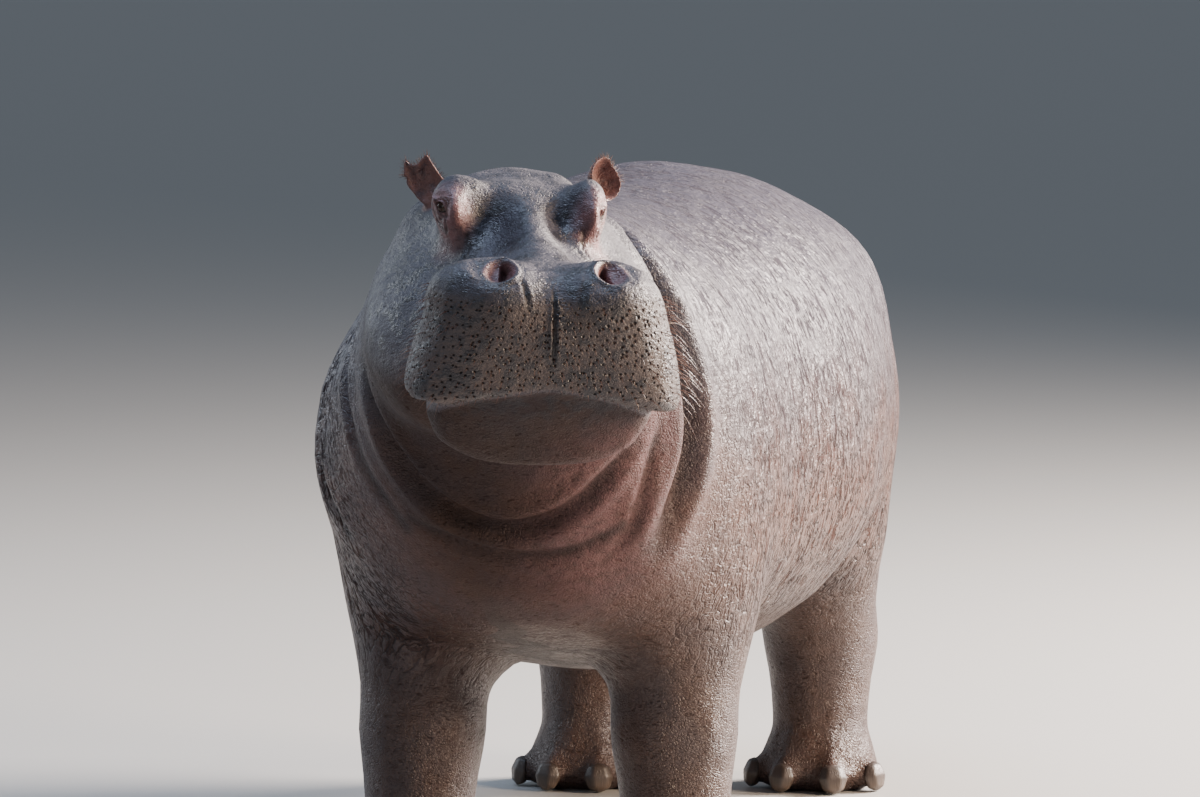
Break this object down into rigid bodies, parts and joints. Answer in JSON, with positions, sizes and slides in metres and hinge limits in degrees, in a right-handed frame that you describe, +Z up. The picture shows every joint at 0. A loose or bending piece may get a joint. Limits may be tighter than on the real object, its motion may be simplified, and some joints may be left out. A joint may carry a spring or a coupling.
{
  "type": "hippopotamus",
  "caption": "Life-size standing bull hippopotamus, a still display model: head raised and turned to its left, mouth shut, torn right ear, short legs on flat soles.",
  "frame": {"origin": "on the ground, under the middle of the whole animal's bounding box", "axes": "+Z up; the animal faces -Y, and its own left side is +X"},
  "size_m": [1.0902, 3.31, 1.5832],
  "materials": {
    "hide": "bare, finely cracked, damp sheen",
    "eye": "wet gloss",
    "keratin": "dull horn"
  },
  "bodies": {
    "root": {"trunk": "hide", "neck": "hide", "head": "hide", "lower_jaw": "hide", "eye_left": "eye", "eye_right": "eye", "ear_left": "hide", "ear_right": "hide", "tail": "hide", "front_left_leg": "hide", "front_left_foot": "hide", "front_left_nail_1": "keratin", "front_left_nail_2": "keratin", "front_left_nail_3": "keratin", "front_left_nail_4": "keratin", "front_right_leg": "hide", "front_right_foot": "hide", "front_right_nail_1": "keratin", "front_right_nail_2": "keratin", "front_right_nail_3": "keratin", "front_right_nail_4": "keratin", "rear_left_leg": "hide", "rear_left_foot": "hide", "rear_left_nail_1": "keratin", "rear_left_nail_2": "keratin", "rear_left_nail_3": "keratin", "rear_left_nail_4": "keratin", "rear_right_leg": "hide", "rear_right_foot": "hide", "rear_right_nail_1": "keratin", "rear_right_nail_2": "keratin", "rear_right_nail_3": "keratin", "rear_right_nail_4": "keratin"}
  },
  "joints": []
}
